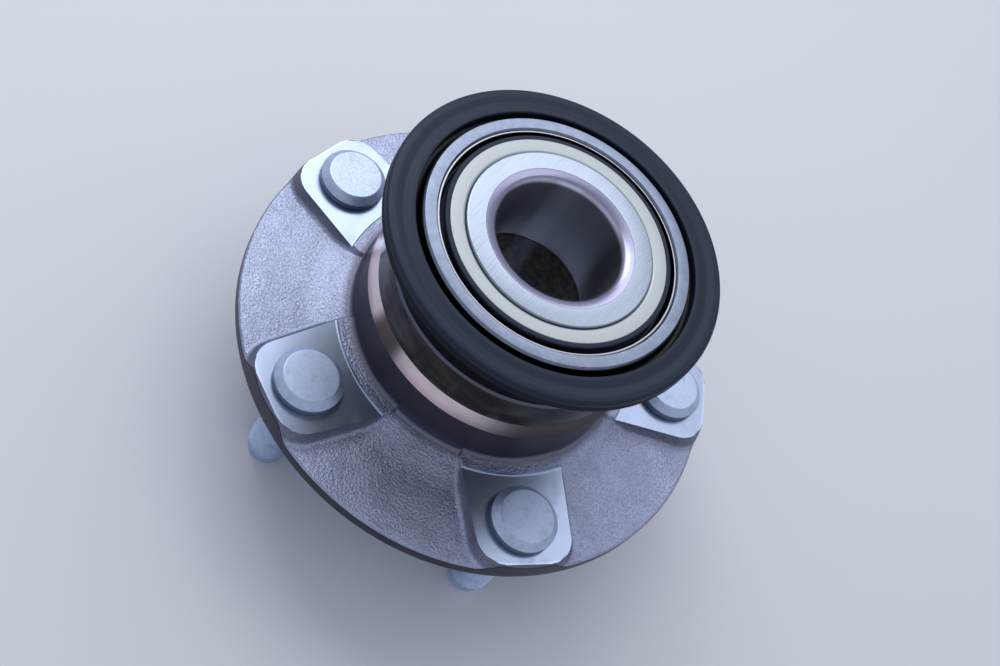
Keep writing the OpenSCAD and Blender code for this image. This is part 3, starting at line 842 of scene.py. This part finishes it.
def shape_flange(bm, pads):
    """Moves the spun columns on to the pads' edges and lifts the web into pads, walls and seats."""
    columns = 2 * pads.columns * len(STUDS)
    web_top, first_row = pads.web_z(pads.flange_r), pads.inner_row - SLACK
    fillet_low, fillet_high, flat_rim = 5, 15, 0.3
    broad, fine = 0.3, 0.9
    to_pad = Matrix.Rotation(stud_angle(0), 3, "Z")
    bmesh.ops.rotate(bm, cent=(0, 0, 0), matrix=to_pad, verts=bm.verts)
    for vert in bm.verts:
        r, z = math.hypot(vert.co.x, vert.co.y) / MM, vert.co.z / MM
        index = round((math.atan2(vert.co.y, vert.co.x) - stud_angle(0)) / (2 * math.pi) * columns)
        pad = round(index / (2 * pads.columns))
        column = index - pad * 2 * pads.columns
        row_r = min(max(r, pads.inner_row), pads.flange_r)
        angle = math.copysign(pads.row_angles(row_r)[abs(column)], column)
        if r > first_row and z >= pads.web_z(row_r) - SLACK:
            r = pads.along_end(row_r, angle)
            z, seat = pads.height(r, angle)
            if not seat and r < pads.flange_r - flat_rim:
                spot = Vector((r * math.cos(angle + pad), r * math.sin(angle + pad), z))
                fade = min(1.0, (r - first_row) / 2)
                z += fade * pads.relief * (noise.noise(spot * broad) + 0.5 * noise.noise(spot * fine))
        elif r > first_row and z > RIM_LOW - SLACK:
            rim_z, _ = pads.height(pads.flange_r, angle)
            z = RIM_LOW + (rim_z - RIM_LOW) * (z - RIM_LOW) / (web_top - RIM_LOW)
        elif pads.root_r - SLACK < r <= first_row and fillet_low < z < fillet_high:
            z += pads.height(pads.inner_row, angle)[0] - pads.web_z(pads.inner_row)
        turn = stud_angle(pad) + angle
        vert.co = Vector((r * math.cos(turn), r * math.sin(turn), z)) * MM


def close_wheel_face(bm, stud):
    """Fills the wheel face from the rim to the pilot, round the five stud holes, and sinks the holes."""
    loops = [edge for edge in bm.edges if edge.is_boundary]
    hole_r, chamfer, depth = stud.knurl_r + 0.05 * MM, 0.4 * MM, 7.5 * MM
    mouth_r = hole_r + chamfer
    holes = []
    for index in range(len(STUDS)):
        turn = stud_place(index)
        ring = bmesh.ops.create_circle(bm, cap_ends=False, radius=mouth_r, segments=64, matrix=turn)
        verts = set(ring["verts"])
        edges = [edge for edge in bm.edges if set(edge.verts) <= verts]
        holes.append((turn.translation.copy(), edges))
        loops += edges
    bmesh.ops.triangle_fill(bm, use_beauty=True, use_dissolve=False, edges=loops, normal=(0, 0, -1))
    for centre, edges in holes:
        for lift in (chamfer, depth):
            grown = bmesh.ops.extrude_edge_only(bm, edges=edges)["geom"]
            for vert in (item for item in grown if isinstance(item, bmesh.types.BMVert)):
                out = (vert.co - centre) * Vector((1, 1, 0))
                vert.co = centre + out.normalized() * hole_r + Vector((0, 0, lift))
            edges = [item for item in grown if isinstance(item, bmesh.types.BMEdge) and item.is_boundary]
        bmesh.ops.contextual_create(bm, geom=edges)


def hub_zone(face, pads):
    """Which of the hub's finishes a face takes."""
    rim_skin, root_edge, step_edge, flat_slack, level = 0.06, 1, 0.1, 0.02, 0.97
    middle = face.calc_center_median() / MM
    r = middle.xy.length
    if middle.z < RIM_LOW or r > pads.flange_r - rim_skin:
        return MACHINED
    if r <= pads.root_r + root_edge:
        return BARREL
    z, seat = pads.height(r, pad_angle(middle))
    on_step = r < pads.seat_r + step_edge and abs(middle.z - z) < pads.SEAT_ROUND / 2
    on_flat = face.normal.z > level and abs(middle.z - pads.seat_z) < flat_slack
    return MACHINED if seat and (on_step or on_flat) else FORGED


def pad_angle(place):
    """Angle of a place from the middle line of its nearest pad."""
    step = 2 * math.pi / len(STUDS)
    turn = math.atan2(place.y, place.x) - stud_angle(0)
    return turn - round(turn / step) * step


def stud_mesh(stud, seat_z):
    """One wheel stud at the origin: head, knurled shank, core, nose and its thread."""
    head, knurl, end, tip = stud.head_r, stud.knurl_r, STUD_HIGH.z / MM, STUD_LOW.z / MM
    core, collar = stud.thread_r - stud.thread_depth - 0.03, tip + stud.nose_h
    outline = rounded([(0, end, 0), (2.5, end, 0), (5, end, 0), (head - stud.chamfer_w, end, 0.5),
                       (head, end - stud.chamfer_h, 0.4), (head, seat_z + 0.5, 0.1),
                       (head - 0.35, seat_z, 0.1), (knurl, seat_z, 0), (knurl, 0.6, 0.3),
                       (core + 0.5, 0, 0.3), (core + 0.5, -1, 0.2), (core, -1.5, 0), (core, collar, 0),
                       (core, tip, stud.nose_r), (0, tip, 0)], closed=False, steps=8)
    bm = spun(outline, steps=2 * stud.knurl_teeth, closed=False)
    tooth = math.pi / stud.knurl_teeth
    for vert in bm.verts:
        valley = round(math.atan2(vert.co.y, vert.co.x) / tooth) % 2
        if valley and abs(vert.co.xy.length / MM - knurl) < 0.02:
            vert.co.xy *= 1 - stud.knurl_depth / knurl
    add_thread(bm, stud, -stud.thread_top, collar)
    return bm


def add_thread(bm, stud, upper, lower):
    """Adds a right-hand thread between two heights, faded in at both ends."""
    # Where a flank begins and where the crest does, as shares of the pitch.
    flank, crest_from = 0.12, 0.44
    # How fast the thread grows from its ends, in radius per height.
    upper_fade, lower_fade = 0.5, 0.7
    per_turn = 32
    pitch, crest, root = stud.pitch, stud.thread_r, stud.thread_r - stud.thread_depth
    turns = math.ceil((upper - lower) / pitch) + 2
    outline = [(root, 0), (root, flank), (crest, crest_from), (crest, 1 - crest_from),
               (root, 1 - flank), (root, 1)]
    old = set(bm.verts)
    verts = [bm.verts.new((r * MM, 0, (lower + (share - 1) * pitch) * MM)) for r, share in outline]
    edges = [bm.edges.new(pair) for pair in zip(verts, verts[1:])]
    bmesh.ops.spin(bm, geom=verts + edges, cent=(0, 0, 0), axis=(0, 0, 1), angle=2 * math.pi * turns,
                   dvec=(0, 0, pitch / per_turn * MM), steps=per_turn * turns, use_merge=False,
                   use_duplicate=False)
    bmesh.ops.remove_doubles(bm, verts=[vert for vert in bm.verts if vert not in old], dist=THREAD_WELD)
    for height, outward in ((upper, 1), (lower, -1)):
        sleeve = [vert for vert in bm.verts if vert not in old]
        parts = sleeve + list({edge for vert in sleeve for edge in vert.link_edges})
        parts += list({face for vert in sleeve for face in vert.link_faces})
        bmesh.ops.bisect_plane(bm, geom=parts, dist=CUT_SLACK, plane_co=(0, 0, height * MM),
                               plane_no=(0, 0, outward), clear_outer=True)
    sleeve = [vert for vert in bm.verts if vert not in old]
    for vert in sleeve:
        z, r = vert.co.z / MM, vert.co.xy.length / MM
        limit = root + min((upper - z) * upper_fade, (z - lower) * lower_fade)
        if r > limit:
            vert.co.xy *= limit / r
    ends = {edge for vert in sleeve for edge in vert.link_edges if edge.is_boundary}
    bmesh.ops.holes_fill(bm, edges=list(ends), sides=0)


def inner_ring_outline(bearing):
    """Section of the inboard inner ring: bore, rounded mouth, high shoulder, raceway and low shoulder."""
    bore, mouth = bearing.bore_r, bearing.mouth_r
    joint, end = bottom("inner_ring_inboard"), top("inner_ring_inboard")
    race = race_arc(bearing, False, joint + bearing.row_offset)
    return rounded([(bore, joint, 0.9), (bearing.low_r, joint, 0.3)] + race
                   + [(bearing.shoulder_r, end, 0.4), (bore + mouth + 0.15, end, 0), (bore + mouth, end, 0),
                      (bore, end - 0.8, mouth - 0.8)], steps=10)


def slinger_outline(seal, shoulder):
    """Sleeve on the inner ring's shoulder and the flange over the seal."""
    sheet, edge, low, z = seal.sheet, seal.slinger_r, bottom("inboard_slinger"), top("inboard_slinger")
    return rounded([(shoulder, low, 0.1), (shoulder + sheet, low, 0.1), (shoulder + sheet, z - sheet, 0.3),
                    (edge, z - sheet, 0.15), (edge, z, 0.2), (shoulder, z, 0.9)], steps=6)


def dust_lip_outline(seal):
    """Rubber edge moulded round the slinger's flange."""
    inner, outer, z = seal.slinger_r, seal.lip_r, top("inboard_slinger")
    return rounded([(inner - 1, z - seal.sheet, 0), (inner, z - seal.sheet, 0), (inner, z - 0.05, 0.1),
                    (outer, z - 0.05, 0.35), (outer, z - 1.3, 0.15), (outer - 0.5, z - 1.3, 0.15),
                    (inner + 0.3, z - 0.9, 0.3)])


def seal_case_outline(seal, outer):
    """Pressed case: wall in the hub's bore and the floor that the rubber is bonded to."""
    inner, wall = seal.case_bore_r, outer - seal.sheet
    floor, rim = bottom("inboard_seal_case"), top("inboard_seal_case")
    return rounded([(inner, floor, 0), (outer, floor, 0.8), (outer, rim, 0.2), (wall, rim, 0.15),
                    (wall, floor + seal.sheet, 0.5), (inner, floor + seal.sheet, 0)])


def seal_lip_outline(seal, shoulder):
    """Rubber bonded to the case: body, axial lip under the slinger and radial lip on its sleeve."""
    inner, sleeve, floor = seal.case_bore_r, shoulder + seal.sheet + 0.12, bottom("inboard_seal_case")
    web, roof = floor + 0.6, top("inboard_slinger") - seal.sheet - 0.15
    body = [(inner, floor, 0), (inner, web, 0), (32, web, 0), (31.6, web + 0.6, 0.2), (30, web + 1, 0.3)]
    axial_lip = [(29.6, web + 2.2, 0.2), (30, roof - 0.7, 0.2), (29.8, roof, 0.1), (29.5, roof - 0.5, 0.1),
                 (28.9, web + 2.2, 0.3), (28.6, web + 1.3, 0.3)]
    radial_lips = [(27.6, web + 1.6, 0.2), (sleeve, web + 2.4, 0.1), (sleeve, web + 2, 0.1),
                   (27.4, web + 1, 0.3), (27.6, web + 0.4, 0.3), (sleeve, web - 0.2, 0.1),
                   (sleeve, web - 0.5, 0.1), (28, floor, 0.2)]
    return rounded(body + axial_lip + radial_lips, steps=4)


def carrier_outline(seal, neck):
    """Rolled steel carrier: sleeve on the neck and the flange under the encoder."""
    sheet, edge, low, high = 0.9, seal.encoder_r - 0.9, bottom("encoder_carrier"), top("encoder_carrier")
    return rounded([(neck, low, 0.2), (neck + sheet, low, 0.2), (neck + sheet, high - sheet, 0.5),
                    (edge, high - sheet, 0.1), (edge, high, 0.1), (neck, high, 1.4)], steps=8)


def encoder_outline(seal):
    """Moulded rubber of the encoder, wrapped round the carrier's edge."""
    outer, inner, groove = seal.encoder_r, seal.encoder_bore_r, seal.groove_r
    low, high = bottom("encoder_magnet"), top("encoder_magnet")
    edge, steel = outer - 0.9, low + 1.4
    return rounded([(edge, low + 0.5, 0), (outer - 2.4, low + 0.5, 0), (outer - 2.2, low, 0.2),
                    (outer, low, 0.7), (outer, high - 0.2, 1.8), (groove + 2.4, high, 2.2),
                    (groove + 0.3, high - 0.4, 2), (groove - 1.8, high - 0.1, 2), (inner, high - 0.1, 0.5),
                    (inner, steel, 0), (edge, steel, 0)], steps=7)


class HUB_OT_stage(Operator):
    """Set the camera at the photographed angle over a pale floor under soft lamps"""

    bl_idname = "hub_bearing.stage"
    bl_label = "Stage"

    def execute(self, context):
        stage = context.scene.hub_stage
        context.scene.view_settings.view_transform = "Standard"
        lens = bpy.data.cameras.new("camera")
        lens.lens, lens.sensor_width, lens.sensor_fit = stage.lens, 36, "HORIZONTAL"
        lens.clip_start, lens.clip_end = 0.01, 20
        camera = bpy.data.objects.new("camera", lens)
        camera.location, camera.rotation_euler = stage.camera_place, Euler(stage.camera_turn)
        context.scene.collection.objects.link(camera)
        context.scene.camera = camera
        self.lamp("key lamp", (-0.384, 0.323, 0.557), (0.42, 0.42), stage.key_power)
        self.lamp("softbox", (-0.092, 0.576, 0.715), (0.50, 0.30), stage.box_power, roll=math.radians(20))
        self.lamp("side box", (0.271, 0.413, 0.803), (0.30, 0.36), stage.side_power)
        self.lamp("fill lamp", (0.62, -0.05, 0.42), (0.45, 0.45), stage.fill_power)
        self.floor()
        self.surroundings(context.scene)
        return {"FINISHED"}

    def lamp(self, name, place, size, watts, roll=0.0):
        """A rectangular lamp that shines at the middle of the wheel face."""
        light = bpy.data.lights.new(name, "AREA")
        light.shape, light.energy = "RECTANGLE", watts
        light.size, light.size_y = size
        lamp = bpy.data.objects.new(name, light)
        lamp.location = place
        aim = (-Vector(place)).to_track_quat("-Z", "Y")
        lamp.rotation_euler = (aim @ Quaternion((0, 0, 1), roll)).to_euler()
        bpy.context.scene.collection.objects.link(lamp)

    def floor(self):
        bm = bmesh.new()
        bmesh.ops.create_grid(bm, x_segments=1, y_segments=1, size=FLOOR_REACH)
        bmesh.ops.translate(bm, vec=(0, 0, CAD_BOX[0][2]), verts=bm.verts)
        mesh = bpy.data.meshes.new("floor")
        bm.to_mesh(mesh)
        bm.free()
        mesh.materials.append(finish("floor paint"))
        plane = bpy.data.objects.new("floor", mesh)
        bpy.context.scene.collection.objects.link(plane)

    def surroundings(self, scene):
        """Light from all round, in the floor's colour made as bright as it goes."""
        tint = scene.hub_colours.floor
        world = bpy.data.worlds.new("studio")
        world.use_nodes = True
        scene.world = world
        sky = world.node_tree.nodes["Background"]
        sky.inputs["Color"].default_value = (*(tint / max(tint)), 1)
        sky.inputs["Strength"].default_value = scene.hub_stage.ambient


class HUB_OT_body(Operator):
    """Forge and machine the hub: pilot, web with its stud pads, barrel and bores"""

    bl_idname = "hub_bearing.body"
    bl_label = "Hub"

    def execute(self, context):
        scene = context.scene
        size = in_mm(scene.hub_sizes)
        pads = PadShape(size)
        outline = rounded(hub_outline(size, in_mm(scene.hub_bearing_sizes), pads), closed=False)
        bm = spun(outline, steps=2 * pads.columns * len(STUDS), closed=False)
        shape_flange(bm, pads)
        close_wheel_face(bm, scene.hub_stud_sizes)
        bmesh.ops.recalc_face_normals(bm, faces=bm.faces)
        for face in bm.faces:
            face.material_index = hub_zone(face, pads)
        piece("hub", bm, "hub", "forged_steel", ["hub_flange"],
              "forged skin", "turned face", "turned barrel")
        return {"FINISHED"}


class HUB_OT_studs(Operator):
    """Press in the wheel studs with their chamfered heads, knurls and threads"""

    bl_idname = "hub_bearing.studs"
    bl_label = "Wheel studs"

    def execute(self, context):
        scene = context.scene
        pattern = stud_mesh(in_mm(scene.hub_stud_sizes), in_mm(scene.hub_sizes).seat_z)
        for index, node in enumerate(STUDS):
            bm = pattern.copy()
            turn = stud_place(index) @ Matrix.Rotation(STUD_TURN * index, 4, "Z")
            bmesh.ops.transform(bm, matrix=turn, verts=bm.verts)
            piece(f"stud_{index + 1}", bm, "hub", "stud_steel", [node], "zinc plate")
        pattern.free()
        return {"FINISHED"}


class HUB_OT_encoder(Operator):
    """Fit the magnetic encoder and its rolled steel carrier on the hub's neck"""

    bl_idname = "hub_bearing.encoder"
    bl_label = "Encoder"

    def execute(self, context):
        seal, neck = in_mm(context.scene.hub_seal_sizes), in_mm(context.scene.hub_sizes).neck_r
        for name, outline, slot, node, look in (
                ("carrier", carrier_outline(seal, neck), "seal_steel", "encoder_carrier", "steel in painted shade"),
                ("encoder", encoder_outline(seal), "encoder_rubber", "encoder_magnet", "encoder rubber")):
            piece(name, spun(outline, ENCODER_STEPS), "hub", slot, [node], look)
        return {"FINISHED"}


class HUB_OT_rings(Operator):
    """Fit the two ground inner rings"""

    bl_idname = "hub_bearing.rings"
    bl_label = "Inner rings"

    def execute(self, context):
        outline = inner_ring_outline(in_mm(context.scene.hub_bearing_sizes))
        for side in ("inboard", "outboard"):
            piece(f"inner_ring_{side[:-5]}", placed_ring(outline, side), "inner_rings", "bearing_steel",
                  [f"inner_ring_{side}"], "bearing steel")
        return {"FINISHED"}


class HUB_OT_seals(Operator):
    """Fit both seals: pressed cases, rubber lips, slingers and their dust lips"""

    bl_idname = "hub_bearing.seals"
    bl_label = "Seals"

    def execute(self, context):
        scene = context.scene
        seal, seat = in_mm(scene.hub_seal_sizes), in_mm(scene.hub_sizes).seal_seat_r
        shoulder = in_mm(scene.hub_bearing_sizes).shoulder_r
        parts = (("seal_case", seal_case_outline(seal, seat), "hub", "seal_steel", "pressed steel"),
                 ("seal_lip", seal_lip_outline(seal, shoulder), "hub", "seal_rubber", "seal rubber"),
                 ("slinger", slinger_outline(seal, shoulder), "inner_rings", "slinger_coat",
                  "slinger coat"),
                 ("dust_lip", dust_lip_outline(seal), "inner_rings", "seal_rubber", "seal rubber"))
        for side in ("inboard", "outboard"):
            for name, outline, body, slot, look in parts:
                bm = placed_ring(outline, side)
                piece(f"{name}_{side[:-5]}", bm, body, slot, [f"{side}_{name}"], look)
        return {"FINISHED"}


class HUB_OT_rolling_set(Operator):
    """Give the balls and cages inside their finishes"""

    bl_idname = "hub_bearing.rolling_set"
    bl_label = "Balls and cages"

    def execute(self, context):
        for name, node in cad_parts.items():
            if name.startswith(("ball_", "cage_")):
                node.data.materials.clear()
                look = "ball steel" if name.startswith("ball_") else "cage polymer"
                node.data.materials.append(finish(look))
        return {"FINISHED"}


STEPS = (HUB_OT_stage, HUB_OT_body, HUB_OT_studs, HUB_OT_encoder, HUB_OT_rings, HUB_OT_seals,
         HUB_OT_rolling_set)


class HUB_PT_panel(Panel):
    """Lists the pieces of the wheel hub bearing"""

    bl_idname = "HUB_PT_panel"
    bl_label = "Wheel hub bearing"
    bl_space_type = "VIEW_3D"
    bl_region_type = "UI"
    bl_category = "Hub bearing"

    def draw(self, context):
        for step in STEPS:
            self.layout.operator(step.bl_idname)


GROUPS = {"hub_sizes": HubSizes, "hub_stud_sizes": StudSizes, "hub_bearing_sizes": BearingSizes,
          "hub_seal_sizes": SealSizes, "hub_colours": Colours, "hub_stage": StageSettings}


def register():
    for made in (*GROUPS.values(), *STEPS, HUB_PT_panel):
        bpy.utils.register_class(made)
    for name, group in GROUPS.items():
        setattr(bpy.types.Scene, name, PointerProperty(type=group))


def unregister():
    for name in GROUPS:
        delattr(bpy.types.Scene, name)
    for made in (HUB_PT_panel, *reversed(STEPS), *GROUPS.values()):
        bpy.utils.unregister_class(made)


def main():
    register()
    bpy.ops.hub_bearing.stage()
    bpy.ops.hub_bearing.body()
    bpy.ops.hub_bearing.studs()
    bpy.ops.hub_bearing.encoder()
    bpy.ops.hub_bearing.rings()
    bpy.ops.hub_bearing.seals()
    bpy.ops.hub_bearing.rolling_set()


if __name__ == "__main__":
    main()
